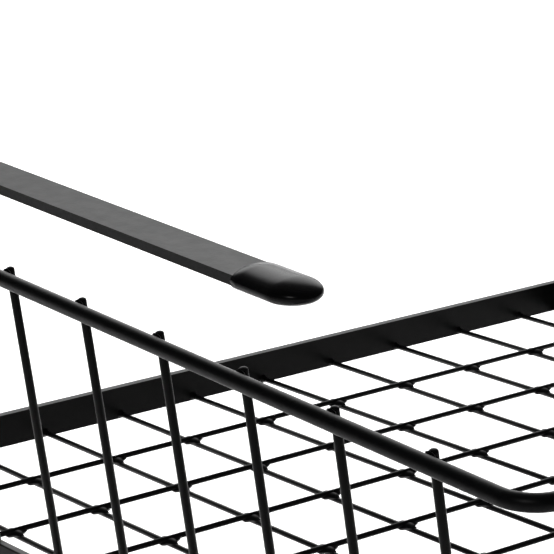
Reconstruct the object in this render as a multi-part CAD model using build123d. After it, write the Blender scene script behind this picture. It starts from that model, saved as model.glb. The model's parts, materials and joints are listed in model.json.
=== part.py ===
from build123d import *
import math
import os

# A three-tier rolling pantry cart. Millimetres. +X points to the front of the cart, +Y to its
# left and +Z up. The origin is on the floor, under the middle of the cart.

# Driving dimensions ---------------------------------------------------------------------------
TIERS = ("bottom", "middle", "top")
tier_spacing = 280.0        # from one floor to the next
first_floor_height = 120.0  # height of the bottom floor where it meets its rear rail
tier_width = 399.0          # between the centre lines of a gallery rim's two sides
tier_depth = 397.0          # from the rear posts' front side to the rim's front centre line
floor_slope = 2.8           # degrees by which a floor falls to the back

post_d = 19.0               # outside diameter of the posts and the push handle
post_wall = 1.5
handle_height = 895.0       # centre line of the push handle
handle_bend = 45.0          # centre-line radius of the handle's two bends
grip_d = 27.0
grip_length = 250.0
front_post_setback = 47.5   # from the rim's front centre line back to the front posts

rail_height = 12.8
rail_thick = 3.0
frame_corner = 20.0         # outside radius of a floor frame's corners
rim_d = 5.0
rim_height = 121.5          # rim centre line above the floor at the rear rail
rim_corner = 10.5           # centre-line radius of the rim's corners
rim_tail = 6.0              # how far the rim runs past the rear posts' centre line
wall_wire_d = 2.8
wall_wire_pitch = 40.0
wall_wire_setback = 39.3    # from the rim's front centre line to the first side wire
wall_lean = 15.7            # how far the floor frame's centre line lies inside a wall wire's top
wire_proud = 0.6            # how far a wall wire stands above its rim
floor_wire_d = 2.0
floor_wire_lift = 1.2       # height of the long wires' centre lines above their floor's level
first_cross_wire = 48.7     # from the rear rail to the first floor wire that runs side to side
cross_wire_pitch = 42.2
long_wire_pitch = 35.1      # floor wires that run from back to front
edge_gap = 14.0             # least gap from a floor frame bar to the wire beside it
weld_sink = 0.2             # how far two welded wires bite into each other

bolt_d = 6.0
bolt_clearance = 0.2        # on the radius of the holes that the rail bolts pass through
bolt_head_d = 12.0
bolt_head_height = 3.2
nut_width = 10.0
nut_height = 5.0
bolt_tail = 1.5             # thread that stands out of the nut

arm_width = 15.0
arm_thick = 3.0
arm_top = 35.0              # top of an arm above the rim's centre line
arm_offset = 2.8            # an arm's centre line outside the rim's centre line
arm_tip_setback = 83.2      # from the rim's front centre line back to the arm bar's end
arm_corner = 7.0
cap_length = 25.0
cap_side = 1.2              # vinyl outside the arm's edges
cap_crown = 2.2             # vinyl over the middle of the arm's flat faces
cap_tip = 2.7               # vinyl beyond the arm's end
cap_round = 9.0             # length of the cap's rounded end
pivot_gap = 24.0            # from the rear post's centre line to an arm's pivot
pivot_d = 5.0
pivot_clearance = 0.08      # on the radius of the arm's hole
rivet_head_d = 9.0
rivet_head_height = 1.8
bracket_leaf = 3.0
bracket_margin = 1.5        # bracket beyond the arm's half width
slide_gap = 0.3             # between faces that turn past each other

wheel_d = 50.0
wheel_width = 18.0
tyre_thick = 6.0
tyre_round = 2.5
caster_trail = 22.0
fork_gap = 1.0              # from the wheel to a fork leg
fork_leg = 2.5
crown_d = 28.0
crown_height = 10.0
axle_d = 6.0
axle_clearance = 0.05       # on the radius, in the wheel
axle_head_d = 10.0
axle_head_height = 2.0
axle_boss = 8.0             # radius of a fork leg around the axle
spindle_d = 8.0
spindle_clearance = 0.05    # on the radius, in the fork's crown
spindle_head_d = 12.0
spindle_head_height = 3.0
collar_d = 24.0
collar_height = 3.0
stem_length = 30.0          # inside the post
wheel_to_spindle = 7.0      # from the top of the wheel up to the spindle's head
plug_head = 2.5
plug_depth = 10.0
plug_post = 14.0            # front post above the top front rail

pedal_pivot = (-30.0, 56.0)  # from the swivel axis and the ground
pedal_pin_d = 4.0
pedal_barrel_d = 8.0
pedal_lug = 5.0             # radius of a fork leg around the pedal pin
pedal_reach = 26.0
pedal_thick = 3.0
pedal_rise = 15.0           # degrees above level when the brake is off
pedal_travel = 25.0         # degrees
pedal_width = 26.0
shoe_reach = 5.0            # from the pedal's pivot to the centre of its shoe
shoe_r = 1.4

# What follows from them -----------------------------------------------------------------------
post_r = post_d / 2
wheel_r = wheel_d / 2
rim_r = rim_d / 2
wall_wire_r = wall_wire_d / 2
floor_wire_r = floor_wire_d / 2
overall_depth = caster_trail + wheel_r + post_r + tier_depth + rim_r
rear_post_x = -overall_depth / 2 + caster_trail + wheel_r
rail_face_x = rear_post_x + post_r + rail_thick
rim_front_x = rear_post_x + post_r + tier_depth
front_post_x = rim_front_x - front_post_setback
rim_y = tier_width / 2
post_y = rim_y + rim_r + post_r - weld_sink
wall_top_inset = rim_r + wall_wire_r - weld_sink
frame_inset = wall_top_inset + wall_lean
frame_y = rim_y - frame_inset
frame_front_x = rim_front_x - frame_inset
slope_run = math.tan(math.radians(floor_slope))

spindle_head_z = wheel_d + wheel_to_spindle
crown_z = spindle_head_z + spindle_head_height + slide_gap
collar_z = crown_z + crown_height + slide_gap
post_bottom = collar_z + collar_height
fork_inner = wheel_width / 2 + fork_gap

floor_z = [first_floor_height + tier_spacing * n for n in range(len(TIERS))]
pivot_x = rear_post_x + pivot_gap
arm_y = rim_y + arm_offset
arm_z = floor_z[-1] + rim_height + arm_top - arm_thick / 2
arm_end_x = rim_front_x - arm_tip_setback
casters = {
    "front_left": (front_post_x, post_y),
    "front_right": (front_post_x, -post_y),
    "rear_left": (rear_post_x, post_y),
    "rear_right": (rear_post_x, -post_y),
}
BRAKED = ("front_left", "front_right")
parts = {}


def rod(start, end, radius):
    """A round bar between two points."""
    start = Vector(start)
    run = Vector(end) - start
    return Solid.make_cylinder(radius, run.length, Plane(origin=start, z_dir=run))


def tube_along_x(x_from, x_to, y, z, radius):
    return rod((x_from, y, z), (x_to, y, z), radius)


def block(x, y, z):
    """A box from three (low, high) pairs."""
    solid = Solid.make_box(x[1] - x[0], y[1] - y[0], z[1] - z[0])
    return solid.moved(Location((x[0], y[0], z[0])))


def slope_height(x):
    """How far the floor has risen at x, from where it meets the rear rail."""
    return (x - rail_face_x) * slope_run


def spread(low, high, pitch):
    """Evenly pitched places, centred between two limits."""
    count = int((high - low) // pitch) + 1
    middle = (low + high) / 2
    return [middle + (n - (count - 1) / 2) * pitch for n in range(count)]


# Tiers ----------------------------------------------------------------------------------------
def rear_bolt_z(z):
    return z - floor_wire_r / 2 + rail_height / 2


def front_rail_top(z):
    """The front rail's top touches the underside of the floor frame."""
    return z + slope_height(front_post_x - post_r - rail_thick) - floor_wire_r


def front_bolt_z(z):
    return front_rail_top(z) - rail_height / 2


def rail(x_low, z_low):
    """A flat bar on edge that joins a left and a right post, with a bolt hole at each."""
    reach = post_y + post_r
    bar = block((x_low, x_low + rail_thick), (-reach, reach), (z_low, z_low + rail_height))
    bar = fillet(bar.edges().filter_by(Axis.X), rail_height / 4)
    for side in (-1, 1):
        bar -= tube_along_x(x_low - 1, x_low + rail_thick + 1, side * post_y,
                            z_low + rail_height / 2, bolt_d / 2 + bolt_clearance)
    return bar


def on_slope(shape, z):
    """Moves a shape from the sloped floor's own frame to its tier."""
    return Location((rail_face_x, 0, z), (0, -floor_slope, 0)) * shape


def run_to(x):
    """Length along the slope from the rear rail to x."""
    return (x - rail_face_x) / math.cos(math.radians(floor_slope))


def floor_frame(z):
    """A flat bar on edge, bent round the two sides and the front of a floor."""
    tail = rail_thick
    outside = run_to(frame_front_x + rail_thick / 2)
    half = frame_y + rail_thick / 2

    def outline(inset, corner):
        flat = Pos((outside - tail) / 2, 0) * Rectangle(outside + tail - 2 * inset, 2 * half - 2 * inset)
        return fillet(flat.vertices().group_by(Axis.X)[-1], corner)

    ring = outline(0, frame_corner) - outline(rail_thick, frame_corner - rail_thick)
    ring -= Pos(-tail, 0) * Rectangle(4 * tail, 2 * half - 2 * rail_thick)
    bar = on_slope(Pos(0, 0, -floor_wire_r) * extrude(ring, rail_height), z)
    return bar - block((rail_face_x - 3 * tail, rail_face_x), (-half - 1, half + 1), (z - 9, z + 30))


def long_wires(z):
    """Floor wires that run from the rear rail to the front of the floor frame."""
    reach = frame_y - rail_thick / 2 - edge_gap
    end = run_to(frame_front_x - rail_thick / 2)
    lift = floor_wire_lift
    return [on_slope(rod((0, y, lift), (end, y, lift), floor_wire_r), z)
            for y in spread(-reach, reach, long_wire_pitch)]


def cross_wires(z):
    """Floor wires that lie across the long ones, from side bar to side bar."""
    reach = frame_y - rail_thick / 2
    rise = floor_wire_lift + floor_wire_d - weld_sink
    first = rail_face_x + first_cross_wire
    count = int((frame_front_x - edge_gap - first) // cross_wire_pitch) + 1
    places = [run_to(first + cross_wire_pitch * n) for n in range(count)]
    return [on_slope(rod((x, -reach, rise), (x, reach, rise), floor_wire_r), z) for x in places]


def rim(z):
    """The gallery's top wire: up one side, round the front and back down the other side."""
    level = z + rim_height
    back = rear_post_x - rim_tail
    path = FilletPolyline((back, -rim_y, level), (rim_front_x, -rim_y, level),
                          (rim_front_x, rim_y, level), (back, rim_y, level), radius=rim_corner)
    return sweep(Plane(path @ 0, z_dir=path % 0) * Circle(rim_r), path)


def wall_wire_top(z):
    return z + rim_height + rim_r + wire_proud


def frame_top(x, z):
    """The floor frame's top edge at x."""
    return z + slope_height(x) + rail_height - floor_wire_r


def leaning_wire(top, foot, z):
    """A wall wire whose centre passes over `top` at the rim's height and stands on `foot`."""
    upper = Vector(*top, z + rim_height)
    lower = Vector(*foot, frame_top(foot[0], z))
    past = (wall_wire_top(z) - upper.Z) / (upper.Z - lower.Z)
    return rod(lower, upper + (upper - lower) * past, wall_wire_r)


def side_wire_places():
    last = rear_post_x + post_r + wall_wire_pitch / 2
    first = rim_front_x - wall_wire_setback
    return [first - wall_wire_pitch * n for n in range(int((first - last) // wall_wire_pitch) + 1)]


def side_wires(z, side):
    return [leaning_wire((x, side * (rim_y - wall_top_inset)), (x, side * frame_y), z)
            for x in side_wire_places()]


def front_wires(z):
    reach = rim_y - wall_wire_setback / 2
    return [leaning_wire((rim_front_x - wall_top_inset, y), (frame_front_x, y), z)
            for y in spread(-reach, reach, wall_wire_pitch)]


def add_tier(name, z):
    parts[f"{name}_rear_rail"] = rail(rear_post_x + post_r, z - floor_wire_r / 2)
    parts[f"{name}_front_rail"] = rail(front_post_x - post_r - rail_thick, front_rail_top(z) - rail_height)
    parts[f"{name}_floor_frame"] = floor_frame(z)
    parts[f"{name}_floor_long_wires"] = long_wires(z)
    parts[f"{name}_floor_cross_wires"] = cross_wires(z)
    parts[f"{name}_gallery_rim"] = rim(z)
    parts[f"{name}_left_wires"] = side_wires(z, 1)
    parts[f"{name}_right_wires"] = side_wires(z, -1)
    parts[f"{name}_front_wires"] = front_wires(z)


# Posts, push handle and what holds the tiers to them --------------------------------------------
def bolt_holes(x, heights):
    reach = post_r + 1
    return [tube_along_x(x - reach, x + reach, side * post_y, height, bolt_d / 2 + bolt_clearance)
            for side in (-1, 1) for height in heights]


def handle_frame():
    """Both rear posts and the push handle, bent from one tube."""
    path = FilletPolyline((rear_post_x, -post_y, post_bottom), (rear_post_x, -post_y, handle_height),
                          (rear_post_x, post_y, handle_height), (rear_post_x, post_y, post_bottom),
                          radius=handle_bend)
    section = Plane(path @ 0, z_dir=path % 0) * (Circle(post_r) - Circle(post_r - post_wall))
    tube = sweep(section, path)
    for hole in bolt_holes(rear_post_x, [rear_bolt_z(z) for z in floor_z]):
        tube -= hole
    return tube


def push_grip():
    sleeve = rod((rear_post_x, -grip_length / 2, handle_height),
                 (rear_post_x, grip_length / 2, handle_height), grip_d / 2)
    sleeve = fillet(sleeve.edges(), (grip_d - post_d) / 4)
    return sleeve - rod((rear_post_x, -grip_length, handle_height),
                        (rear_post_x, grip_length, handle_height), post_r)


def front_post_top():
    return front_rail_top(floor_z[-1]) + plug_post


def front_post(side):
    foot = (front_post_x, side * post_y, post_bottom)
    top = (front_post_x, side * post_y, front_post_top())
    tube = rod(foot, top, post_r) - rod(foot, top, post_r - post_wall)
    for hole in bolt_holes(front_post_x, [front_bolt_z(z) for z in floor_z]):
        tube -= hole
    return tube


def front_post_plugs():
    plugs = []
    for side in (-1, 1):
        top = front_post_top()
        head = rod((front_post_x, side * post_y, top), (front_post_x, side * post_y, top + plug_head), post_r)
        head = fillet(head.edges().group_by(Axis.Z)[-1], plug_head * 0.8)
        plugs.append(head + rod((front_post_x, side * post_y, top - plug_depth),
                                (front_post_x, side * post_y, top), post_r - post_wall))
    return plugs


def bolt_sites():
    """Where each rail bolt passes, and which way it points from its head."""
    for side in (-1, 1):
        for z in floor_z:
            yield rear_post_x, side * post_y, rear_bolt_z(z), 1
            yield front_post_x, side * post_y, front_bolt_z(z), -1


def rail_bolt(x, y, z, way):
    start = x - way * post_r
    head = rod((start - way * bolt_head_height, y, z), (start, y, z), bolt_head_d / 2)
    end = x + way * (post_r + rail_thick + nut_height + bolt_tail)
    outer = head.edges().sort_by(lambda e: -way * e.center().X)[-1]
    return fillet(outer, bolt_head_height * 0.6) + tube_along_x(start, end, y, z, bolt_d / 2)


def rail_nut(x, y, z, way):
    face = x + way * (post_r + rail_thick)
    blank = Plane(origin=(face, y, z), z_dir=(way, 0, 0)) * RegularPolygon(nut_width / 2, 6, major_radius=False)
    return extrude(blank, nut_height) - tube_along_x(face - way, face + way * (nut_height + 1), y, z, bolt_d / 2)


# Side arms --------------------------------------------------------------------------------------
def arm_bar(side):
    """A flat bar from the pivot to the tip, round at both ends."""
    blank = Pos((pivot_x + arm_end_x) / 2, side * arm_y) * Rectangle(arm_end_x - pivot_x, arm_width)
    blank = fillet(blank.vertices().group_by(Axis.X)[-1], arm_corner)
    blank += Pos(pivot_x, side * arm_y) * Circle(arm_width / 2)
    return Pos(0, 0, arm_z - arm_thick / 2) * extrude(blank, arm_thick)


def arm(side):
    hole = rod((pivot_x, side * arm_y, arm_z - arm_thick), (pivot_x, side * arm_y, arm_z + arm_thick),
               pivot_d / 2 + pivot_clearance)
    return arm_bar(side) - hole


def arm_cap(side):
    """A dipped vinyl sleeve, oval in section, that narrows to a rounded end over the arm's tip."""
    start = arm_end_x + cap_tip - cap_round

    def oval(x, share):
        plane = Plane(origin=(x, side * arm_y, arm_z), x_dir=(0, 1, 0), z_dir=(1, 0, 0))
        return plane * Ellipse((arm_width / 2 + cap_side) * share, (arm_thick / 2 + cap_crown) * share)

    mouth = arm_end_x + cap_tip - cap_length
    turns = [math.radians(angle) for angle in (0, 20, 40, 60, 75)]
    reach = cap_round / math.sin(turns[-1])
    nose = [oval(start + reach * math.sin(turn), math.cos(turn)) for turn in turns]
    sleeve = extrude(oval(mouth, 1), start - mouth)
    return sleeve + loft(nose) - arm_bar(side)


def bracket_height():
    return arm_thick + 2 * slide_gap + 2 * bracket_leaf


def arm_bracket(side):
    """A forked lug on the rear post, which holds the arm's end between two leaves."""
    y = side * arm_y
    half = arm_width / 2 + bracket_margin
    low = arm_z - bracket_height() / 2
    blank = Pos((rear_post_x + pivot_x) / 2, y) * Rectangle(pivot_x - rear_post_x, 2 * half)
    blank += Pos(pivot_x, y) * Circle(half)
    lug = Pos(0, 0, low) * extrude(blank, bracket_height())
    slot_start = pivot_x - half
    lug -= block((slot_start, pivot_x + 2 * half), (y - half - 1, y + half + 1),
                 (low + bracket_leaf, low + bracket_height() - bracket_leaf))
    lug -= rod((rear_post_x, side * post_y, low - 1),
               (rear_post_x, side * post_y, low + bracket_height() + 1), post_r)
    lug -= block((rear_post_x - post_r, rear_post_x), (y - 2 * half, y + 2 * half),
                 (low - 1, low + bracket_height() + 1))
    lug -= rod((pivot_x, y, low - 1), (pivot_x, y, low + bracket_height() + 1), pivot_d / 2)
    return lug.solids().sort_by(SortBy.VOLUME)[-1]


def pivot_rivet(side):
    y = side * arm_y
    half = bracket_height() / 2
    shank = rod((pivot_x, y, arm_z - half), (pivot_x, y, arm_z + half), pivot_d / 2)
    top = rod((pivot_x, y, arm_z + half), (pivot_x, y, arm_z + half + rivet_head_height), rivet_head_d / 2)
    top = fillet(top.edges().group_by(Axis.Z)[-1], rivet_head_height * 0.8)
    low = rod((pivot_x, y, arm_z - half - rivet_head_height), (pivot_x, y, arm_z - half), rivet_head_d / 2)
    low = fillet(low.edges().group_by(Axis.Z)[0], rivet_head_height * 0.8)
    return shank + top + low


# Casters ------------------------------------------------------------------------------------------
def caster_stem(x, y):
    """Fixed in the post: a plug, a collar, and the spindle that the fork turns on."""
    stem = rod((x, y, collar_z), (x, y, post_bottom), collar_d / 2)
    stem += rod((x, y, post_bottom), (x, y, post_bottom + stem_length), post_r - post_wall)
    stem += rod((x, y, spindle_head_z), (x, y, collar_z), spindle_d / 2)
    return stem + rod((x, y, spindle_head_z), (x, y, spindle_head_z + spindle_head_height), spindle_head_d / 2)


def across(x, z, y, half, radius):
    """A round bar along Y, centred on y."""
    return rod((x, y - half, z), (x, y + half, z), radius)


def fork_leg_face(braked):
    """A fork leg's outline, seen from the side, with the swivel axis at the origin."""
    crown_r = crown_d / 2
    outline = [Pos(-caster_trail, wheel_r) * Circle(axle_boss)]
    outline += [Pos(x, crown_z + crown_height / 2) * Circle(crown_height / 2)
                for x in (-crown_r + crown_height / 2, crown_r - crown_height)]
    leg = make_hull(Sketch(children=outline).edges())
    if braked:
        lug = [Pos(*pedal_pivot) * Circle(pedal_lug), Pos(-crown_r / 2, crown_z) * Circle(pedal_lug)]
        leg += make_hull(Sketch(children=lug).edges())
    return leg


def fork(x, y, braked):
    body = rod((x, y, crown_z), (x, y, crown_z + crown_height), crown_d / 2)
    for side in (-1, 1):
        inner = side * fork_inner
        plane = Plane(origin=(x, y + inner + side * fork_leg, 0), x_dir=(1, 0, 0), z_dir=(0, -1, 0))
        if side < 0:
            plane = Plane(origin=(x, y + inner, 0), x_dir=(1, 0, 0), z_dir=(0, -1, 0))
        body += extrude(plane * fork_leg_face(braked), fork_leg)
    body -= rod((x, y, crown_z - 1), (x, y, crown_z + crown_height + 1), spindle_d / 2 + spindle_clearance)
    reach = fork_inner + fork_leg + 1
    body -= across(x - caster_trail, wheel_r, y, reach, axle_d / 2)
    if braked:
        body -= across(x + pedal_pivot[0], pedal_pivot[1], y, reach, pedal_pin_d / 2 + axle_clearance)
    return body


def axle(x, y):
    reach = fork_inner + fork_leg
    pin = across(x - caster_trail, wheel_r, y, reach, axle_d / 2)
    for side in (-1, 1):
        start = y + side * reach
        head = rod((x - caster_trail, start, wheel_r),
                   (x - caster_trail, start + side * axle_head_height, wheel_r), axle_head_d / 2)
        outer = head.edges().sort_by(lambda e: side * e.center().Y)[-1]
        pin += fillet(outer, axle_head_height * 0.6)
    return pin


def wheel(x, y):
    rim_radius = wheel_r - tyre_thick
    disc = across(x - caster_trail, wheel_r, y, wheel_width / 2, rim_radius)
    for side in (-1, 1):
        recess = rod((x - caster_trail, y + side * wheel_width / 4, wheel_r),
                     (x - caster_trail, y + side * wheel_width, wheel_r), rim_radius - 2.5)
        disc -= recess
    disc += across(x - caster_trail, wheel_r, y, fork_inner - slide_gap, axle_d)
    return disc - across(x - caster_trail, wheel_r, y, wheel_width, axle_d / 2 + axle_clearance)


def tyre(x, y):
    ring = across(x - caster_trail, wheel_r, y, wheel_width / 2, wheel_r)
    ring = fillet(ring.edges(), tyre_round)
    return ring - across(x - caster_trail, wheel_r, y, wheel_width, wheel_r - tyre_thick)


def brake_pedal(x, y):
    """A foot plate with a shoe that swings down towards the tyre."""
    px, pz = x + pedal_pivot[0], pedal_pivot[1]
    half = fork_inner - slide_gap
    pedal = across(px, pz, y, half, pedal_barrel_d / 2)
    pedal += across(px, pz, y, half + slide_gap + fork_leg, pedal_pin_d / 2)
    to_axle = math.atan2(-caster_trail - pedal_pivot[0], pedal_pivot[1] - wheel_r)
    aim = to_axle - math.radians(pedal_travel)
    pedal += across(px + shoe_reach * math.sin(aim), pz - shoe_reach * math.cos(aim), y, half, shoe_r)
    neck = Solid.make_box(pedal_reach, 2 * half, pedal_thick)
    neck = neck.moved(Location((-pedal_reach, -half, 0)))
    foot = Solid.make_box(pedal_reach - pedal_lug - pedal_barrel_d / 2, pedal_width, pedal_thick)
    foot = fillet(foot.moved(Location((-pedal_reach, -pedal_width / 2, 0))).edges().filter_by(Axis.Z), 3)
    plate = Location((px, y, pz), (0, pedal_rise, 0)) * (neck + foot)
    return pedal + plate


def add_caster(name, x, y):
    braked = name in BRAKED
    parts[f"{name}_fork"] = fork(x, y, braked)
    parts[f"{name}_axle"] = axle(x, y)
    parts[f"{name}_wheel"] = wheel(x, y)
    parts[f"{name}_tyre"] = tyre(x, y)
    if braked:
        parts[f"{name}_brake_pedal"] = brake_pedal(x, y)


def build():
    for name, z in zip(TIERS, floor_z):
        add_tier(name, z)
    parts["handle_frame"] = handle_frame()
    parts["push_grip"] = push_grip()
    parts["left_front_post"] = front_post(1)
    parts["right_front_post"] = front_post(-1)
    parts["front_post_plugs"] = front_post_plugs()
    parts["rail_bolts"] = [rail_bolt(*site) for site in bolt_sites()]
    parts["rail_nuts"] = [rail_nut(*site) for site in bolt_sites()]
    for name, side in (("left", 1), ("right", -1)):
        parts[f"{name}_arm_bracket"] = arm_bracket(side)
        parts[f"{name}_arm"] = arm(side)
        parts[f"{name}_arm_cap"] = arm_cap(side)
    parts["arm_pivot_rivets"] = [pivot_rivet(side) for side in (1, -1)]
    parts["caster_stems"] = [caster_stem(x, y) for x, y in casters.values()]
    for name, (x, y) in casters.items():
        add_caster(name, x, y)


def solids_of(shape):
    """The separate solids of a sub-part, whether it is one shape or a list of them."""
    pieces = shape if isinstance(shape, list) else [shape]
    return [solid for piece in pieces for solid in piece.solids()]


build()
os.makedirs("parts", exist_ok=True)
for node, shape in parts.items():
    solids = solids_of(shape)
    export_step(solids[0] if len(solids) == 1 else Compound(children=solids), f"parts/{node}.step")
    print(f"{node}: {len(solids)} solids, {sum(s.volume for s in solids):.0f} mm3")
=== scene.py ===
"""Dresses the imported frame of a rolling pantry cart: wire, flat bars, caps, grip, casters and a stage."""

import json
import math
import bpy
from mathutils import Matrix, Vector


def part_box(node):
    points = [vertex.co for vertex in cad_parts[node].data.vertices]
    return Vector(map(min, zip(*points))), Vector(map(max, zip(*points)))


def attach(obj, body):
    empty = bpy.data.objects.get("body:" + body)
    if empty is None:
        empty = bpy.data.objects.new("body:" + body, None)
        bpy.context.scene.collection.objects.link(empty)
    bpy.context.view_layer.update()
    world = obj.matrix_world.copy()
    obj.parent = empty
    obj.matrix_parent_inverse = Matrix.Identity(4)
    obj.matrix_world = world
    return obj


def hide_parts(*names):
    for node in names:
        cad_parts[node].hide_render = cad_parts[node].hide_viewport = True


bl_info = {
    "name": "Rolling Pantry Cart",
    "version": (1, 0, 0),
    "blender": (4, 5, 0),
    "location": "3D View > Sidebar > Pantry Cart",
    "description": "Builds the visible pieces of a welded wire pantry cart around its frame",
    "category": "Object",
}

import bmesh
import bpy
import numpy as np
from bpy.props import FloatProperty, FloatVectorProperty, IntProperty, PointerProperty
from mathutils import Matrix, Vector

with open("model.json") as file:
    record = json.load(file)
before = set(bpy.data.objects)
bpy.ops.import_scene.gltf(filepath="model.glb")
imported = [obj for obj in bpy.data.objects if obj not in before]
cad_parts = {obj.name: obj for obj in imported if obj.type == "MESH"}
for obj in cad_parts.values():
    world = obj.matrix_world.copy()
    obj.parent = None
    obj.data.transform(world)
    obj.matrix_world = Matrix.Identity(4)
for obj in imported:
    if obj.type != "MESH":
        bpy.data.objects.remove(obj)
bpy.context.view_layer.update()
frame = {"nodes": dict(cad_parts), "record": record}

MM = 0.001
TIERS = ("bottom", "middle", "top")
SIDES = ("left", "right")
CORNERS = ("front_left", "front_right", "rear_left", "rear_right")
BRAKED = ("front_left", "front_right")
UP = Vector((0, 0, 1))
MIX_LOW, MIX_HIGH, MIX_COLOUR = 6, 7, 2     # the Mix node's colour sockets


# Settings -------------------------------------------------------------------------------------
class CartFinishes(bpy.types.PropertyGroup):
    coat: FloatVectorProperty(name="Powder coat", description="Colour of the coated steel",
                              subtype="COLOR", default=(0.0045, 0.0045, 0.0047), min=0, max=1)
    coat_roughness: FloatProperty(name="Coat roughness", description="How satin the coat is",
                                  subtype="FACTOR", default=0.36, min=0, max=1)
    vinyl: FloatVectorProperty(name="Vinyl", description="Colour of the caps on the arms",
                               subtype="COLOR", default=(0.004, 0.004, 0.0044), min=0, max=1)
    grip: FloatVectorProperty(name="Grip", description="Colour of the handle's foam sleeve",
                              subtype="COLOR", default=(0.013, 0.013, 0.014), min=0, max=1)
    tread: FloatVectorProperty(name="Tread", description="Colour of the tyres",
                               subtype="COLOR", default=(0.035, 0.036, 0.038), min=0, max=1)
    nylon: FloatVectorProperty(name="Nylon", description="Colour of the wheels, plugs and pedals",
                               subtype="COLOR", default=(0.012, 0.012, 0.013), min=0, max=1)
    zinc: FloatVectorProperty(name="Zinc", description="Colour of the plated caster stems and axles",
                              subtype="COLOR", default=(0.56, 0.56, 0.54), min=0, max=1)


class CartWelds(bpy.types.PropertyGroup):
    floor_fillet: FloatProperty(name="Floor fillet",
                                description="Radius of the coat that fills a floor crossing",
                                subtype="DISTANCE", default=3.4 * MM, min=0)
    wall_fillet: FloatProperty(name="Wall fillet",
                               description="Radius of the weld between a wall wire and its rim",
                               subtype="DISTANCE", default=0.6 * MM, min=0)
    rim_corner: FloatProperty(name="Rim corner", description="Bend radius of a gallery rim's centre line",
                              subtype="DISTANCE", default=10.5 * MM, min=0)
    edge_round: FloatProperty(name="Edge rounding",
                              description="Radius left on the edges of cut and pressed steel",
                              subtype="DISTANCE", default=0.45 * MM, min=0)
    sides: IntProperty(name="Wire sides", description="Facets round a wire", default=20, min=8, max=64)


class CartStage(bpy.types.PropertyGroup):
    heading: FloatProperty(name="Heading", description="The camera looks this far from -X towards +Y",
                           subtype="ANGLE", default=math.radians(37.30))
    pitch: FloatProperty(name="Pitch", description="How far the camera looks down",
                         subtype="ANGLE", default=math.radians(16.89))
    lens: FloatProperty(name="Lens", description="Focal length in millimetres", default=177.46, min=1)
    stand: FloatVectorProperty(name="Stand", description="Camera from the top rim's front right corner",
                               subtype="TRANSLATION", default=(0.44857, -0.41770, 0.24339))
    light: FloatProperty(name="Light", description="Strength of all the studio lights together",
                         default=1.0, min=0)
    floor: FloatVectorProperty(name="Floor", description="Colour of the studio floor",
                               subtype="COLOR", default=(0.92, 0.92, 0.92), min=0, max=1)


# Materials ------------------------------------------------------------------------------------
def new_material(name):
    """A material with its Principled shader and a helper that adds linked nodes."""
    material = bpy.data.materials.new(name)
    material.use_nodes = True
    tree = material.node_tree
    shader = tree.nodes["Principled BSDF"]

    def node(kind, inputs=None, **settings):
        made = tree.nodes.new(kind)
        for key, value in settings.items():
            setattr(made, key, value)
        for key, value in (inputs or {}).items():
            if isinstance(value, bpy.types.NodeSocket):
                tree.links.new(value, made.inputs[key])
            else:
                made.inputs[key].default_value = value
        return made

    return material, shader, tree, node


def grain(node, scale, detail=3.0, stretch=None):
    """Noise over the object's own coordinates."""
    place = node("ShaderNodeTexCoord").outputs["Object"]
    if stretch is not None:
        place = node("ShaderNodeMapping", {"Vector": place, "Scale": stretch}).outputs["Vector"]
    return node("ShaderNodeTexNoise", {"Vector": place, "Scale": scale, "Detail": detail}).outputs["Fac"]


def tint(node, tree, shader, fac, low, high):
    """Varies the base colour between two close shades."""
    mix = node("ShaderNodeMix", {"Factor": fac}, data_type="RGBA")
    mix.inputs[MIX_LOW].default_value = (*low, 1)
    mix.inputs[MIX_HIGH].default_value = (*high, 1)
    tree.links.new(mix.outputs[MIX_COLOUR], shader.inputs["Base Color"])


def vary_roughness(node, tree, shader, fac, low, high):
    """Lets the roughness drift between two values."""
    spread = node("ShaderNodeMapRange", {"Value": fac, "To Min": low, "To Max": high})
    tree.links.new(spread.outputs["Result"], shader.inputs["Roughness"])


def relief(node, tree, shader, height, strength, distance):
    """Raises a height pattern as a bump."""
    bump = node("ShaderNodeBump", {"Height": height, "Strength": strength, "Distance": distance})
    tree.links.new(bump.outputs["Normal"], shader.inputs["Normal"])


def shade(colour, by):
    return tuple(channel * by for channel in colour)


def satin_coat(finish):
    """Satin black powder: a fine orange peel over slow changes of gloss."""
    material, shader, tree, node = new_material("satin_coat")
    slow = grain(node, 45.0)
    peel = grain(node, 1100.0, 2.0)
    wave = grain(node, 230.0, 2.0)
    tint(node, tree, shader, slow, shade(finish.coat, 0.85), shade(finish.coat, 1.25))
    vary_roughness(node, tree, shader, wave, finish.coat_roughness - 0.05, finish.coat_roughness + 0.06)
    height = node("ShaderNodeMath", {0: peel, 1: wave}, operation="ADD").outputs["Value"]
    relief(node, tree, shader, height, 0.35, 0.06 * MM)
    shader.inputs["Specular IOR Level"].default_value = 0.12
    return material


def dipped_vinyl(finish):
    """Glossy black vinyl with the slow unevenness of a dipped skin."""
    material, shader, tree, node = new_material("dipped_vinyl")
    slow = grain(node, 110.0, 2.0)
    fine = grain(node, 900.0, 2.0)
    tint(node, tree, shader, slow, shade(finish.vinyl, 0.8), shade(finish.vinyl, 1.3))
    vary_roughness(node, tree, shader, fine, 0.17, 0.24)
    relief(node, tree, shader, slow, 0.5, 0.12 * MM)
    shader.inputs["Specular IOR Level"].default_value = 0.12
    return material


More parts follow.
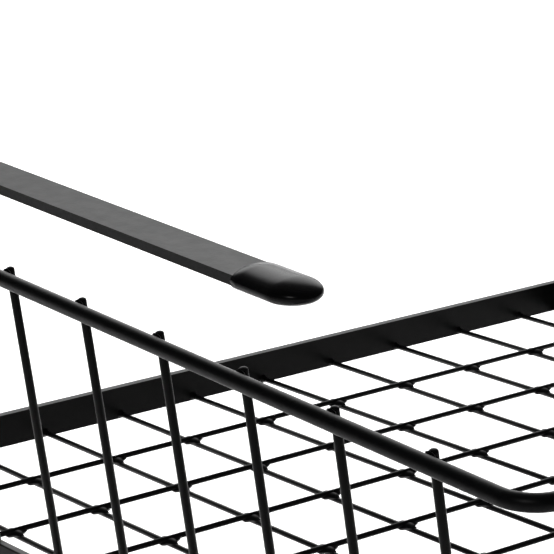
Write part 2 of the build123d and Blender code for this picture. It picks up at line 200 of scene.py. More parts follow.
def foam_sleeve(finish):
    """Matt closed-cell foam, with pores."""
    material, shader, tree, node = new_material("foam_sleeve")
    place = node("ShaderNodeTexCoord").outputs["Object"]
    cells = node("ShaderNodeTexVoronoi", {"Vector": place, "Scale": 1500.0}).outputs["Distance"]
    slow = grain(node, 60.0)
    tint(node, tree, shader, cells, shade(finish.grip, 0.7), shade(finish.grip, 1.5))
    vary_roughness(node, tree, shader, slow, 0.78, 0.92)
    relief(node, tree, shader, cells, 0.8, 0.2 * MM)
    shader.inputs["Sheen Weight"].default_value = 0.15
    return material


def tread_rubber(finish):
    """Dark grey rubber, dusty in patches."""
    material, shader, tree, node = new_material("tread_rubber")
    dust = grain(node, 160.0, 5.0)
    fine = grain(node, 1300.0)
    tint(node, tree, shader, dust, shade(finish.tread, 0.8), shade(finish.tread, 1.5))
    vary_roughness(node, tree, shader, dust, 0.58, 0.78)
    relief(node, tree, shader, fine, 0.4, 0.08 * MM)
    return material


def moulded_nylon(finish):
    """Black nylon with a fine spark-eroded skin."""
    material, shader, tree, node = new_material("moulded_nylon")
    slow = grain(node, 70.0)
    spark = grain(node, 1700.0, 1.0)
    tint(node, tree, shader, slow, shade(finish.nylon, 0.85), shade(finish.nylon, 1.2))
    vary_roughness(node, tree, shader, slow, 0.42, 0.55)
    relief(node, tree, shader, spark, 0.45, 0.05 * MM)
    return material


def bright_zinc(finish):
    """Plated steel with faint turning marks."""
    material, shader, tree, node = new_material("bright_zinc")
    marks = grain(node, 600.0, 4.0, (1.0, 1.0, 9.0))
    slow = grain(node, 90.0)
    tint(node, tree, shader, slow, shade(finish.zinc, 0.82), finish.zinc)
    vary_roughness(node, tree, shader, marks, 0.22, 0.4)
    relief(node, tree, shader, marks, 0.25, 0.03 * MM)
    shader.inputs["Metallic"].default_value = 1.0
    return material


def black_oxide(finish):
    """Blackened steel that is thin in places."""
    material, shader, tree, node = new_material("black_oxide")
    slow = grain(node, 420.0, 4.0)
    tint(node, tree, shader, slow, (0.02, 0.02, 0.021), (0.05, 0.049, 0.048))
    vary_roughness(node, tree, shader, slow, 0.3, 0.48)
    relief(node, tree, shader, slow, 0.2, 0.03 * MM)
    shader.inputs["Metallic"].default_value = 0.75
    return material


MAKERS = {
    "satin_coat": satin_coat, "dipped_vinyl": dipped_vinyl, "foam_sleeve": foam_sleeve,
    "tread_rubber": tread_rubber, "moulded_nylon": moulded_nylon, "bright_zinc": bright_zinc,
    "black_oxide": black_oxide,
}


def finish_of(name):
    """The named material, made the first time that it's asked for."""
    known = bpy.data.materials.get(name)
    return known or MAKERS[name](bpy.context.scene.cart_finishes)


# Mesh shells ----------------------------------------------------------------------------------
class Shell:
    """Points and faces of one or more closed skins."""

    def __init__(self):
        self.points = []
        self.faces = []

    def rings(self, rings):
        """Joins rings of points into a closed skin. A single point closes an end."""
        base = [len(self.points)]
        for ring in rings:
            self.points.extend(ring)
            base.append(len(self.points))
        count = max(len(ring) for ring in rings)
        for n in range(len(rings) - 1):
            self.join(base[n], len(rings[n]), base[n + 1], len(rings[n + 1]), count)
        if len(rings[0]) > 1:
            self.faces.append([base[0] + k for k in range(len(rings[0]))][::-1])
        if len(rings[-1]) > 1:
            self.faces.append([base[-2] + k for k in range(len(rings[-1]))])

    def join(self, low, low_size, high, high_size, count):
        """Faces between two rings, given as the number of their first points and their sizes."""
        for k in range(count):
            after = (k + 1) % count
            if low_size == 1:
                self.faces.append([low, high + after, high + k])
            elif high_size == 1:
                self.faces.append([low + k, low + after, high])
            else:
                self.faces.append([low + k, low + after, high + after, high + k])


def shell_object(name, shell, material, body, replaced=(), smooth_angle=50.0):
    """Makes a shown piece out of a shell, and tells the frame where it belongs."""
    mesh = bpy.data.meshes.new(name)
    mesh.from_pydata([tuple(p) for p in shell.points], [], shell.faces)
    skin = bmesh.new()
    skin.from_mesh(mesh)
    bmesh.ops.recalc_face_normals(skin, faces=skin.faces)
    skin.to_mesh(mesh)
    skin.free()
    piece = bpy.data.objects.new(name, mesh)
    bpy.context.scene.collection.objects.link(piece)
    mesh.shade_smooth()
    mesh.set_sharp_from_angle(angle=math.radians(smooth_angle))
    mesh.materials.append(finish_of(material))
    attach(piece, body)
    if replaced:
        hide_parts(*replaced)


def body_of(node):
    return next(name for name, nodes in frame["record"]["behaviour"]["bodies"].items() if node in nodes)


def stands_for(node, shell, material, smooth_angle=50.0):
    """Makes a piece that takes one CAD node's place."""
    shell_object(f"{node}_skin", shell, material, body_of(node), (node,), smooth_angle)


def basis(axis):
    """Two unit vectors that stand square to an axis and to each other."""
    axis = Vector(axis).normalized()
    side = axis.cross(UP if abs(axis.z) < 0.9 else Vector((1, 0, 0))).normalized()
    return side, axis.cross(side)


def circle(centre, side, up, radius, count):
    turn = 2 * math.pi / count
    return [centre + side * (radius * math.cos(turn * k)) + up * (radius * math.sin(turn * k))
            for k in range(count)]


def lathe(shell, origin, axis, profile, count):
    """Turns a profile of (along, radius) pairs about an axis. Radius 0 is one point."""
    axis = Vector(axis).normalized()
    side, up = basis(axis)
    rings = []
    for along, radius in profile:
        centre = Vector(origin) + axis * along
        rings.append([centre] if radius == 0 else circle(centre, side, up, radius, count))
    shell.rings(rings)


def loop_lathe(shell, origin, axis, profile, count):
    """Turns a closed profile about an axis, as for a tyre."""
    axis = Vector(axis).normalized()
    side, up = basis(axis)
    base = len(shell.points)
    for along, radius in profile:
        shell.points.extend(circle(Vector(origin) + axis * along, side, up, radius, count))
    size = len(profile)
    for n in range(size):
        shell.join(base + n * count, count, base + (n + 1) % size * count, count, count)


def dome(radius, depth, steps=5):
    """(back from the tip, radius) pairs of a rounded end."""
    turns = [math.pi / 2 * k / steps for k in range(steps)]
    return [(depth * (1 - math.cos(a)), radius * math.sin(a)) for a in turns]


def straight_wire(shell, start, end, radius, count, round_end=0.0):
    """A wire with eased cuts, or with a dome on its far end."""
    run = (end - start).length
    ease = radius * 0.12
    profile = [(0, 0), (0, radius - ease), (ease, radius)]
    tail = [(run - ease, radius), (run, radius - ease), (run, 0)]
    if round_end:
        tail = [(run - round_end, radius), *[(run - b, r) for b, r in reversed(dome(radius, round_end))]]
    lathe(shell, start, end - start, profile + tail, count)


def bent_wire(shell, path, radius, count):
    """A wire along a path of points, with domed ends."""
    ease = radius * 0.6
    places = []
    side = None
    for n, point in enumerate(path):
        before = path[max(n - 1, 0)]
        after = path[min(n + 1, len(path) - 1)]
        along = (after - before).normalized()
        side = basis(along)[0] if side is None else (side - along * side.dot(along)).normalized()
        places.append((point, along, side))

    def ring(point, along, side, size=radius):
        return [point] if size == 0 else circle(point, side, along.cross(side), size, count)

    point, along, side = places[0]
    rings = [ring(point + along * back, along, side, size) for back, size in dome(radius, ease)]
    rings.append(ring(point + along * ease, along, side))
    rings += [ring(*place) for place in places[1:-1]]
    point, along, side = places[-1]
    rings.append(ring(point - along * ease, along, side))
    rings += [ring(point - along * back, along, side, size) for back, size in reversed(dome(radius, ease))]
    shell.rings(rings)


def weld_star(shell, centre, along, across, radii, fillet, thick, rings=4, per_quarter=8):
    """The filled crossing of two wires: a lens with a hollow side in each quarter."""
    along = along.normalized()
    normal = along.cross(across).normalized()
    across = normal.cross(along)
    outline = []
    centre_a, centre_b = radii[1] + fillet, radii[0] + fillet
    corner = math.hypot(centre_a, radii[0])
    for n in range(4 * per_quarter):
        turn = math.pi / 2 * n / per_quarter
        c, s = abs(math.cos(turn)), abs(math.sin(turn))
        reach = centre_a * c + centre_b * s
        gap = reach * reach - (centre_a**2 + centre_b**2 - fillet**2)
        size = centre_a if c > s else centre_b
        if gap > 0 and min(c * centre_a, s * centre_b) > 0 and reach - math.sqrt(gap) < corner:
            size = reach - math.sqrt(gap)
        outline.append((math.cos(turn) * size, math.sin(turn) * size))
    layers = []
    for face in (1, -1):
        steps = range(1, rings) if face == 1 else range(rings, 0, -1)
        for n in steps:
            share = n / rings
            rise = face * thick * math.sqrt(max(1 - share**2, 0))
            layers.append([centre + along * (x * share) + across * (y * share) + normal * rise
                           for x, y in outline])
    shell.rings([[centre + normal * thick], *layers, [centre - normal * thick]])


# Reading the frame ----------------------------------------------------------------------------
def islands(node):
    """The corner points of each separate solid of a CAD node."""
    skin = bmesh.new()
    skin.from_mesh(frame["nodes"][node].data)
    bmesh.ops.remove_doubles(skin, verts=skin.verts, dist=0.001 * MM)
    skin.verts.ensure_lookup_table()
    seen = set()
    groups = []
    for first in skin.verts:
        if first.index in seen:
            continue
        seen.add(first.index)
        queue, group = [first], []
        while queue:
            vert = queue.pop()
            group.append(tuple(vert.co))
            for edge in vert.link_edges:
                other = edge.other_vert(vert)
                if other.index not in seen:
                    seen.add(other.index)
                    queue.append(other)
        groups.append(np.array(group))
    skin.free()
    return groups


def wires_of(node):
    """(start, end, radius) of each straight wire in a CAD node, the start being the lower end."""
    wires = []
    for points in islands(node):
        middle = points.mean(axis=0)
        axis = np.linalg.svd(points - middle, full_matrices=False)[2][0]
        axis = axis if axis[np.argmax(abs(axis))] > 0 else -axis
        along = (points - middle) @ axis
        radius = np.linalg.norm(points - middle - np.outer(along, axis), axis=1).max()
        start, end = Vector(middle + axis * along.min()), Vector(middle + axis * along.max())
        wires.append((start, end, float(radius)))
    return wires


def closest(a_point, a_run, b_point, b_run):
    """The points of two lines that lie nearest to each other."""
    offset = a_point - b_point
    a, b, c = a_run.dot(a_run), a_run.dot(b_run), b_run.dot(b_run)
    d, e = a_run.dot(offset), b_run.dot(offset)
    spread = a * c - b * b
    s = (b * e - c * d) / spread
    t = (a * e - b * d) / spread
    return a_point + a_run * s, b_point + b_run * t


def rim_lines(tier):
    """Centre lines of a gallery rim's right side, front and left side, and its wire's radius."""
    low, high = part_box(f"{tier}_gallery_rim")
    radius = (high.z - low.z) / 2
    level = (high.z + low.z) / 2
    front = high.x - radius
    side = high.y - radius
    back = low.x
    return (Vector((back, -side, level)), Vector((front, -side, level)),
            Vector((front, side, level)), Vector((back, side, level)), radius)


# CAD nodes that keep their shape --------------------------------------------------------------
def soften(node, material, width, segments=2):
    """Joins the CAD mesh's split corners, rounds its sharp edges and gives it a finish."""
    piece = frame["nodes"][node]
    piece.data.materials.clear()
    piece.data.materials.append(finish_of(material))
    weld = piece.modifiers.new("join corners", "WELD")
    weld.merge_threshold = 0.002 * MM
    if width > 0:
        round_off = piece.modifiers.new("round edges", "BEVEL")
        round_off.width = width
        round_off.segments = segments
        round_off.limit_method = "ANGLE"
        round_off.angle_limit = math.radians(40)
        round_off.use_clamp_overlap = True


# Operators ------------------------------------------------------------------------------------
class CartOperator:
    """What every operator of the cart shares."""

    bl_options = {"REGISTER", "UNDO"}

    def execute(self, context):
        self.build(context)
        return {"FINISHED"}


class CART_OT_gallery_rims(CartOperator, bpy.types.Operator):
    """Bend the round wire that runs round the top of each basket"""

    bl_idname = "cart.gallery_rims"
    bl_label = "Gallery Rims"

    def build(self, context):
        welds = context.scene.cart_welds
        for tier in TIERS:
            shell = Shell()
            bent_wire(shell, self.path(tier, welds.rim_corner), rim_lines(tier)[-1], welds.sides + 8)
            stands_for(f"{tier}_gallery_rim", shell, "satin_coat")

    def path(self, tier, corner, steps=10):
        back_right, front_right, front_left, back_left, _ = rim_lines(tier)
        points = [back_right]
        for bend, start in ((front_right, -90), (front_left, 0)):
            toward = -1 if bend.y > 0 else 1
            hub = bend + Vector((-corner, toward * corner, 0))
            for n in range(steps + 1):
                turn = math.radians(start + 90 * n / steps)
                points.append(hub + Vector((math.cos(turn), math.sin(turn), 0)) * corner)
        return [*points, back_left]


class CART_OT_wall_wires(CartOperator, bpy.types.Operator):
    """Stand the upright wires inside each rim, with round ends and weld fillets"""

    bl_idname = "cart.wall_wires"
    bl_label = "Wall Wires"

    def build(self, context):
        welds = context.scene.cart_welds
        for tier in TIERS:
            back_right, front_right, front_left, back_left, rim_radius = rim_lines(tier)
            rows = (("right", back_right, front_right), ("front", front_right, front_left),
                    ("left", back_left, front_left))
            for row, start, end in rows:
                node = f"{tier}_{row}_wires"
                shell = Shell()
                for foot, top, radius in wires_of(node):
                    straight_wire(shell, foot, top, radius, welds.sides, round_end=radius * 0.6)
                    on_rim, on_wire = closest(start, end - start, foot, top - foot)
                    apart = (on_wire - on_rim).normalized()
                    touch = on_rim + apart * rim_radius
                    weld_star(shell, touch, end - start, top - foot, (rim_radius * 0.7, radius),
                              welds.wall_fillet, radius * 0.75, per_quarter=6)
                    self.foot_bead(shell, foot, radius)
                stands_for(node, shell, "satin_coat")

    def foot_bead(self, shell, foot, radius):
        """The small mound where a wall wire stands on its floor frame."""
        profile = [(-0.3 * radius, 0), (-0.3 * radius, 1.1 * radius), (0.1 * radius, 1.2 * radius),
                   (0.7 * radius, 1.08 * radius), (1.5 * radius, 0.97 * radius), (1.5 * radius, 0)]
        lathe(shell, foot, UP, profile, 16)


class CART_OT_floor_mesh(CartOperator, bpy.types.Operator):
    """Lay the welded wires of each floor, with the coat filling every crossing"""

    bl_idname = "cart.floor_mesh"
    bl_label = "Floor Mesh"

    def build(self, context):
        welds = context.scene.cart_welds
        for tier in TIERS:
            long_node = f"{tier}_floor_long_wires"
            cross_node = f"{tier}_floor_cross_wires"
            long_wires = wires_of(long_node)
            cross_wires = wires_of(cross_node)
            lower = Shell()
            for start, end, radius in long_wires:
                straight_wire(lower, start, end, radius, welds.sides - 4)
                self.end_fillets(lower, start, end, radius)
            stands_for(long_node, lower, "satin_coat")
            upper = Shell()
            for start, end, radius in cross_wires:
                straight_wire(upper, start, end, radius, welds.sides - 4)
                self.end_fillets(upper, start, end, radius)
                for other_start, other_end, other_radius in long_wires:
                    on_cross, on_long = closest(start, end - start, other_start, other_end - other_start)
                    weld_star(upper, (on_cross + on_long) / 2, end - start, other_end - other_start,
                              (radius, other_radius), welds.floor_fillet, radius * 1.35)
            stands_for(cross_node, upper, "satin_coat")

    def end_fillets(self, shell, start, end, radius):
        """A flared weld where a floor wire meets the bar that it ends on."""
        flare = [(0, 0), (0, 1.75 * radius), (0.3 * radius, 1.5 * radius), (0.9 * radius, 1.26 * radius),
                 (1.8 * radius, 1.08 * radius), (3.0 * radius, 0.97 * radius), (3.0 * radius, 0)]
        lathe(shell, start, end - start, flare, 16)
        lathe(shell, end, start - end, flare, 16)


class CART_OT_flat_bars(CartOperator, bpy.types.Operator):
    """Ease and coat the rails, floor frames, arms and arm brackets"""

    bl_idname = "cart.flat_bars"
    bl_label = "Flat Bars"

    def build(self, context):
        width = context.scene.cart_welds.edge_round
        for tier in TIERS:
            for name in ("rear_rail", "front_rail", "floor_frame"):
                soften(f"{tier}_{name}", "satin_coat", width, 3)
        for side in SIDES:
            soften(f"{side}_arm", "satin_coat", width * 0.7, 3)
            soften(f"{side}_arm_bracket", "satin_coat", width)


class CART_OT_posts(CartOperator, bpy.types.Operator):
    """Coat the front posts and the bent tube of the rear posts and push handle"""

    bl_idname = "cart.posts"
    bl_label = "Posts And Handle"

    def build(self, context):
        for node in ("handle_frame", "left_front_post", "right_front_post"):
            soften(node, "satin_coat", 0)
        soften("front_post_plugs", "moulded_nylon", 0)


class CART_OT_push_grip(CartOperator, bpy.types.Operator):
    """Slip the foam sleeve over the push handle"""

    bl_idname = "cart.push_grip"
    bl_label = "Push Grip"

    def build(self, context):
        low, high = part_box("push_grip")
        radius = (high.z - low.z) / 2
        tube = (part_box("handle_frame")[1].z - (low.z + high.z) / 2)
        half = (high.y - low.y) / 2
        centre = Vector(((low.x + high.x) / 2, 0, (low.z + high.z) / 2))
        ease = (radius - tube) * 0.85
        outer = [(half - ease * (1 - math.sin(a)), radius - ease * (1 - math.cos(a)))
                 for a in (math.pi / 2 * k / 6 for k in range(7))]
        waist, steps = 0.25 * MM, 8
        outer = [*[(half * 0.92 * k / steps, radius - waist * (1 + math.cos(math.pi * k / steps)) / 2)
                   for k in range(steps + 1)], *outer]
        profile = [(-a, r) for a, r in reversed(outer)] + outer[1:]
        profile = [(-half, tube), *profile, (half, tube)]
        shell = Shell()
        loop_lathe(shell, centre, (0, 1, 0), profile, 48)
        stands_for("push_grip", shell, "foam_sleeve", smooth_angle=60)


class CART_OT_arm_caps(CartOperator, bpy.types.Operator):
    """Dip a crowned vinyl cap over the end of each side arm"""

    bl_idname = "cart.arm_caps"
    bl_label = "Arm Caps"
    roundness = 2.0
    squareness = 1.55

    def build(self, context):
        for side in SIDES:
            node = f"{side}_arm_cap"
            shell = Shell()
            self.cap(shell, *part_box(node))
            stands_for(node, shell, "dipped_vinyl", smooth_angle=75)

    def oval(self, x, centre, half, rise, share, count=64):
        """One ring of the sleeve, an oval that is a share of the mouth's size."""
        ring = []
        for k in range(count):
            turn = 2 * math.pi * k / count
            y, z = math.cos(turn), math.sin(turn)
            ring.append(Vector((x, centre.y + y * half * share, centre.z + z * rise * share)))
        return ring

    def cap(self, shell, low, high):
        centre = (low + high) / 2
        half = (high.y - low.y) / 2
        rise = (high.z - low.z) / 2
        length = high.x - low.x
        nose = length * 0.36
        lip = 0.3 * MM
        mouth = ((3, 2.2), (0.5, 1.6), (0, 1.0), (0.3, 0.3), (1, 0))
        rings = [self.oval(low.x + lip * along, centre, half, rise, 1 - lip * inset / rise)
                 for along, inset in mouth]
        straight = length - nose - lip
        rings += [self.oval(low.x + lip + straight * n / 6, centre, half, rise, 1) for n in range(1, 7)]
        steps = 14
        for n in range(1, steps):
            share = math.cos(math.pi / 2 * n / steps)
            reach = (1 - share ** self.roundness) ** (1 / self.squareness)
            rings.append(self.oval(high.x - nose * (1 - reach), centre, half, rise, share))
        rings.append([Vector((high.x, centre.y, centre.z))])
        shell.rings(rings)


class CART_OT_fasteners(CartOperator, bpy.types.Operator):
    """Turn the rail bolts, nuts and arm rivets"""

    bl_idname = "cart.fasteners"
    bl_label = "Bolts, Nuts And Rivets"

    def build(self, context):
        bolts = Shell()
        nuts = Shell()
        nut_boxes = [(points.min(axis=0), points.max(axis=0)) for points in islands("rail_nuts")]
        for points in islands("rail_bolts"):
            low, high = points.min(axis=0), points.max(axis=0)
            middle = (low + high) / 2
            near = min(nut_boxes, key=lambda box: np.linalg.norm((box[0] + box[1]) / 2 - middle))
            way = 1 if (near[0][0] + near[1][0]) / 2 > middle[0] else -1
            head_x = low[0] if way > 0 else high[0]
            head_radius = (high[2] - low[2]) / 2
            self.bolt(bolts, Vector((head_x, middle[1], middle[2])), way, high[0] - low[0], head_radius)
            self.nut(nuts, near, way)
        stands_for("rail_bolts", bolts, "black_oxide", smooth_angle=35)
        stands_for("rail_nuts", nuts, "black_oxide", smooth_angle=25)
        soften("arm_pivot_rivets", "black_oxide", 0)

    def bolt(self, shell, start, way, length, head_radius):
        """A low domed head with a hex socket, and a threaded tail."""
        height, shank, socket = 3.2 * MM, 3.0 * MM, 2.0 * MM
        mouth_depth, floor_depth, dimple = 0.3 * MM, 1.6 * MM, 0.15 * MM
        crown, lip = 2.3 * MM, socket * 1.15
        pitch, threads, thread_depth, chamfer = 1.0 * MM, 8, 0.5 * MM, 0.4 * MM
        side, up, axis = Vector((0, 1, 0)), Vector((0, 0, way)), Vector((way, 0, 0))
        count = 36

        def ring(along, radius):
            return circle(start + axis * along, side, up, radius, count)

        floor = [start + axis * floor_depth + (side * math.cos(a) + up * math.sin(a)) * socket
                 for a in (math.pi / 3 * k for k in range(6))]
        mouth = [corner - axis * (floor_depth - mouth_depth) for corner in floor]
        rings = [[start + axis * (floor_depth + dimple)]]
        rings += [[self.hex_point(corners, k / count) for k in range(count)] for corners in (floor, mouth)]
        for turn in (12, 35, 60, 85):
            a = math.radians(turn)
            rings.append(ring(mouth_depth + crown * (1 - math.cos(a)),
                              lip + (head_radius - lip) * math.sin(a)))
        plain = length - threads * pitch - chamfer
        rings += [ring(height, head_radius), ring(height, shank), ring(plain, shank)]
        for n in range(threads):
            rings.append(ring(plain + pitch * (n + 0.5), shank - thread_depth))
            rings.append(ring(plain + pitch * (n + 1), shank))
        rings.append(ring(length, shank - chamfer))
        shell.rings([*rings, [start + axis * length]])

    def hex_point(self, corners, share):
        """The point of a hexagon's edge at a share of the full turn."""
        place = share * 6
        n = int(place) % 6
        return corners[n].lerp(corners[(n + 1) % 6], place - int(place))

    def nut(self, shell, box, way):
        """A hex nut with both of its faces chamfered, open in the middle."""
        low, high = box
        middle = Vector(((low[0] + high[0]) / 2, (low[1] + high[1]) / 2, (low[2] + high[2]) / 2))
        half = (high[0] - low[0]) / 2
        flat = min(high[1] - low[1], high[2] - low[2]) / 2
        point = flat / math.cos(math.pi / 6)
        tall_z = (high[2] - low[2]) > (high[1] - low[1])
        count = 48
        rings = []
        for along, limit in ((-half, 0.94), (-half * 0.78, 1.06), (half * 0.78, 1.06), (half, 0.94)):
            ring = []
            for k in range(count):
                turn = 2 * math.pi * k / count
                shift = turn if not tall_z else turn - math.pi / 6
                within = (shift % (math.pi / 3)) - math.pi / 6
                edge = flat / math.cos(within)
                radius = min(edge, point * limit)
                ring.append(middle + Vector((along, radius * math.cos(turn), radius * math.sin(turn))))
            rings.append(ring)
        bore, bevel, play = 3.0 * MM, 0.35 * MM, 0.02 * MM
        for along in (half, half * 0.8, -half * 0.8, -half):
            radius = bore + (bevel if abs(along) == half else play)
            rings.append(circle(middle + Vector((along, 0, 0)), Vector((0, 1, 0)), UP, radius, count))
        base = len(shell.points)
        for ring in rings:
            shell.points.extend(ring)
        for n in range(len(rings)):
            shell.join(base + n * count, count, base + (n + 1) % len(rings) * count, count, count)


class CART_OT_caster_wheels(CartOperator, bpy.types.Operator):
    """Turn the tyres and mould the ribbed wheels"""

    bl_idname = "cart.caster_wheels"
    bl_label = "Caster Wheels"

    def build(self, context):
        for corner in CORNERS:
            low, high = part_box(f"{corner}_tyre")
            hub_low, hub_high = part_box(f"{corner}_wheel")
            centre = (low + high) / 2
            half = (high.y - low.y) / 2
            hub_radius = (hub_high.z - hub_low.z) / 2
            self.tyre(corner, centre, (high.z - low.z) / 2, hub_radius, half)
            self.wheel(corner, centre, hub_radius, half, (hub_high.y - hub_low.y) / 2)

    def tyre(self, corner, centre, radius, inner, half):
        """A crowned tread with a shallow groove each side of the middle."""
        shoulder = 2.6 * MM
        profile = [(-half, inner), (-half, radius - shoulder)]
        profile += [(-half + shoulder * (1 - math.cos(a)), radius - shoulder + shoulder * 0.86 * math.sin(a))
                    for a in (math.pi / 2 * k / 6 for k in range(1, 7))]
        groove, mouth, bed, depth = 3.1 * MM, 0.7 * MM, 0.4 * MM, 0.7 * MM
        for place, drop in ((-groove - mouth, 0.12 * MM), (-groove - bed, depth), (-groove + bed, depth),
                            (-groove + mouth, 0.05 * MM), (0, 0)):
            profile.append((place, radius - drop))
        profile += [(-a, r) for a, r in reversed(profile[:-1])]
        shell = Shell()
        loop_lathe(shell, centre, (0, 1, 0), profile, 96)
        stands_for(f"{corner}_tyre", shell, "tread_rubber", smooth_angle=40)

    def wheel(self, corner, centre, radius, half, boss_half):
        """A moulded disc with a rim flange, a boss and ribs on both faces."""
        web, rim_wall, boss, bore = 2.2 * MM, 2.4 * MM, 6.2 * MM, 3.05 * MM
        profile = [(-half + 0.3 * MM, radius), (-half, radius - 0.4 * MM),
                   (-half, radius - rim_wall + 0.3 * MM),
                   (-half + 0.3 * MM, radius - rim_wall), (-web, radius - rim_wall - 0.8 * MM),
                   (-web, boss + 1.0 * MM), (-web - 0.8 * MM, boss), (-boss_half + 0.4 * MM, boss - 0.3 * MM),
                   (-boss_half, boss - 0.8 * MM), (-boss_half, bore)]
        profile += [(-a, r) for a, r in reversed(profile)]
        shell = Shell()
        loop_lathe(shell, centre, (0, 1, 0), profile, 72)
        for n in range(6):
            for face in (1, -1):
                self.rib(shell, centre, n * math.pi / 3, face, boss - 0.4 * MM,
                         radius - rim_wall + 0.2 * MM, web * 0.9, half - 1.6 * MM)
        stands_for(f"{corner}_wheel", shell, "moulded_nylon", smooth_angle=35)

    def rib(self, shell, centre, turn, face, start, end, low, high):
        """One rib, thin at its crest, that runs from the boss to the rim."""
        out = Vector((math.cos(turn), 0, math.sin(turn)))
        side = Vector((-math.sin(turn), 0, math.cos(turn)))
        rings = []
        for reach in (start, end):
            ring = []
            for across, height in ((-0.9, low), (-0.65, high - 0.25 * MM), (-0.4, high), (0.4, high),
                                   (0.65, high - 0.25 * MM), (0.9, low)):
                ring.append(centre + out * reach + side * across * MM + Vector((0, face * height, 0)))
            rings.append(ring)
        shell.rings(rings)


class CART_OT_caster_frames(CartOperator, bpy.types.Operator):
    """Finish the forks, stems, axles and brake pedals"""

    bl_idname = "cart.caster_frames"
    bl_label = "Forks, Stems And Pedals"

    def build(self, context):
        for corner in CORNERS:
            soften(f"{corner}_fork", "satin_coat", 0.35 * MM)
            soften(f"{corner}_axle", "bright_zinc", 0)
        soften("caster_stems", "bright_zinc", 0.3 * MM)
        for corner in BRAKED:
            soften(f"{corner}_brake_pedal", "moulded_nylon", 0.45 * MM)
            self.treads(f"{corner}_brake_pedal")

    def treads(self, node):
        """Raised bars across a pedal's foot plate, so that a shoe doesn't slip."""
        points = np.array([v.co for v in frame["nodes"][node].data.vertices])
        plate = 9 * MM
        rear = points[points[:, 0] < points[:, 0].min() + plate]
        middle_y = (points[:, 1].min() + points[:, 1].max()) / 2
        slope = math.radians(15.0)
        top = rear[rear[:, 2].argmax()]
        along = Vector((math.cos(slope), 0, -math.sin(slope)))
        up = Vector((math.sin(slope), 0, math.cos(slope)))
        shell = Shell()
        first, pitch, half_width = 2.2 * MM, 2.6 * MM, 8.5 * MM
        section = ((-0.7, -0.4), (0.7, -0.4), (0.5, 0.35), (0, 0.6), (-0.5, 0.35))
        for n in range(4):
            base = Vector((top[0], middle_y, top[2])) + along * (first + pitch * n)
            shell.rings([[base + Vector((0, y, 0)) + along * a * MM + up * b * MM for a, b in section]
                         for y in (-half_width, half_width)])
        shell_object(f"{node}_treads", shell, "moulded_nylon", body_of(node))


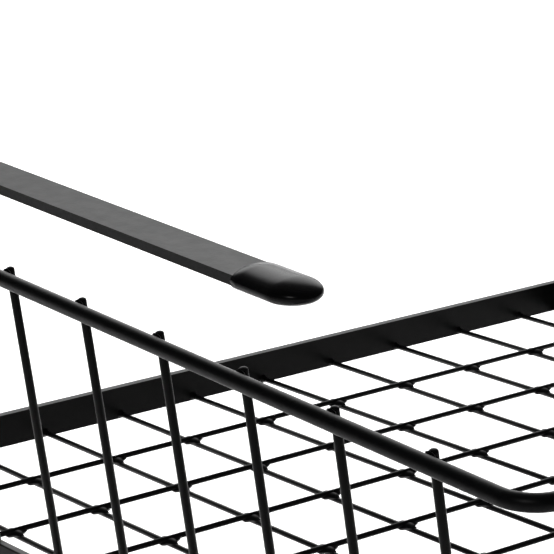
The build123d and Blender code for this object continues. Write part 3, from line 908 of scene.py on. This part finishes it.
class CART_OT_stage(CartOperator, bpy.types.Operator):
    """Set the floor, the soft lights and the camera"""

    bl_idname = "cart.stage"
    bl_label = "Stage"

    def build(self, context):
        stage = context.scene.cart_stage
        self.world(context.scene)
        self.floor(context.scene, stage)
        self.lights(context.scene, stage)
        self.camera(context.scene, stage)
        context.scene.view_settings.view_transform = "Standard"
        context.scene.view_settings.look = "None"

    def world(self, scene):
        """White to the camera, and to the cart a soft bright patch behind it in a dim room."""
        patch = (-0.761, 0.580, 0.290)
        patch_edge, patch_middle = 0.85, 0.97
        dim, bright = 0.05, 2.6
        world = bpy.data.worlds.new("studio")
        scene.world = world
        world.use_nodes = True
        tree = world.node_tree
        tree.nodes.clear()
        place = tree.nodes.new("ShaderNodeTexCoord")
        toward = tree.nodes.new("ShaderNodeVectorMath")
        toward.operation = "DOT_PRODUCT"
        toward.inputs[1].default_value = patch
        fade = tree.nodes.new("ShaderNodeMapRange")
        fade.interpolation_type = "SMOOTHSTEP"
        fade.inputs["From Min"].default_value = patch_edge
        fade.inputs["From Max"].default_value = patch_middle
        fade.inputs["To Min"].default_value = dim
        fade.inputs["To Max"].default_value = bright
        around = tree.nodes.new("ShaderNodeBackground")
        seen = tree.nodes.new("ShaderNodeBackground")
        seen.inputs["Color"].default_value = (1, 1, 1, 1)
        rays = tree.nodes.new("ShaderNodeLightPath")
        pick = tree.nodes.new("ShaderNodeMixShader")
        out = tree.nodes.new("ShaderNodeOutputWorld")
        link = tree.links.new
        link(place.outputs["Generated"], toward.inputs[0])
        link(toward.outputs["Value"], fade.inputs["Value"])
        link(fade.outputs["Result"], around.inputs["Strength"])
        link(rays.outputs["Is Camera Ray"], pick.inputs["Fac"])
        link(around.outputs["Background"], pick.inputs[1])
        link(seen.outputs["Background"], pick.inputs[2])
        link(pick.outputs["Shader"], out.inputs["Surface"])

    def floor(self, scene, stage):
        """A pale matt floor that runs on past the camera's view."""
        half = 30.0
        mesh = bpy.data.meshes.new("studio_floor")
        mesh.from_pydata([(-half, -half, 0), (half, -half, 0), (half, half, 0), (-half, half, 0)], [],
                         [(0, 1, 2, 3)])
        floor = bpy.data.objects.new("studio_floor", mesh)
        scene.collection.objects.link(floor)
        material, shader, tree, node = new_material("pale_floor")
        soft = grain(node, 3.0)
        tint(node, tree, shader, soft, shade(stage.floor, 0.99), stage.floor)
        shader.inputs["Roughness"].default_value = 0.85
        shader.inputs["Specular IOR Level"].default_value = 0.1
        mesh.materials.append(material)

    def lights(self, scene, stage):
        """Two washes that light the floor, and one small lamp that glints on the steel."""
        # name, place, aim, size in metres, watts, whether gloss shows it
        plan = (
            ("floor_wash", (-2.6, 2.0, 3.0), (-2.6, 2.0, 0.0), 5.0, 300, False),
            ("back_wash", (-6.5, 5.0, 4.0), (-6.5, 5.0, 0.0), 6.0, 420, False),
            ("front_glint", (1.3, -1.9, 2.1), (0.1, -0.2, 0.8), 0.7, 7, True),
        )
        for name, place, aim, size, power, glossy in plan:
            lamp = bpy.data.lights.new(name, "AREA")
            lamp.shape = "DISK"
            lamp.size = size
            lamp.energy = power * stage.light
            holder = bpy.data.objects.new(name, lamp)
            scene.collection.objects.link(holder)
            holder.location = place
            holder.rotation_euler = (Vector(aim) - holder.location).to_track_quat("-Z", "Y").to_euler()
            holder.visible_camera = False
            holder.visible_glossy = glossy

    def camera(self, scene, stage):
        """A long lens that looks down on the top basket's front right corner."""
        front_right = rim_lines("top")[1]
        across, down = math.cos(stage.pitch), math.sin(stage.pitch)
        aim = Vector((-math.cos(stage.heading) * across, math.sin(stage.heading) * across, -down))
        data = bpy.data.cameras.new("camera")
        data.lens = stage.lens
        data.sensor_width = 36
        data.clip_start = 0.01
        data.clip_end = 200
        data.dof.use_dof = False
        camera = bpy.data.objects.new("camera", data)
        scene.collection.objects.link(camera)
        camera.location = front_right + Vector(stage.stand)
        camera.rotation_euler = aim.to_track_quat("-Z", "Y").to_euler()
        scene.camera = camera


OPERATORS = (
    CART_OT_stage, CART_OT_gallery_rims, CART_OT_wall_wires, CART_OT_floor_mesh, CART_OT_flat_bars,
    CART_OT_posts, CART_OT_push_grip, CART_OT_arm_caps, CART_OT_fasteners, CART_OT_caster_wheels,
    CART_OT_caster_frames,
)


class CART_PT_panel(bpy.types.Panel):
    """The cart's settings and its pieces in building order"""

    bl_idname = "CART_PT_panel"
    bl_label = "Pantry Cart"
    bl_space_type = "VIEW_3D"
    bl_region_type = "UI"
    bl_category = "Pantry Cart"

    def draw(self, context):
        scene = context.scene
        for group in (scene.cart_finishes, scene.cart_welds, scene.cart_stage):
            box = self.layout.box()
            for name in group.bl_rna.properties.keys():
                if name not in ("rna_type", "name"):
                    box.prop(group, name)
        for operator in OPERATORS:
            self.layout.operator(operator.bl_idname)


GROUPS = (CartFinishes, CartWelds, CartStage)


def register():
    for cls in (*GROUPS, *OPERATORS, CART_PT_panel):
        bpy.utils.register_class(cls)
    bpy.types.Scene.cart_finishes = PointerProperty(type=CartFinishes)
    bpy.types.Scene.cart_welds = PointerProperty(type=CartWelds)
    bpy.types.Scene.cart_stage = PointerProperty(type=CartStage)


def unregister():
    del bpy.types.Scene.cart_stage
    del bpy.types.Scene.cart_welds
    del bpy.types.Scene.cart_finishes
    for cls in (CART_PT_panel, *reversed(OPERATORS), *reversed(GROUPS)):
        bpy.utils.unregister_class(cls)


def main():
    register()
    for operator in OPERATORS:
        group, name = operator.bl_idname.split(".")
        getattr(getattr(bpy.ops, group), name)()


if __name__ == "__main__":
    main()
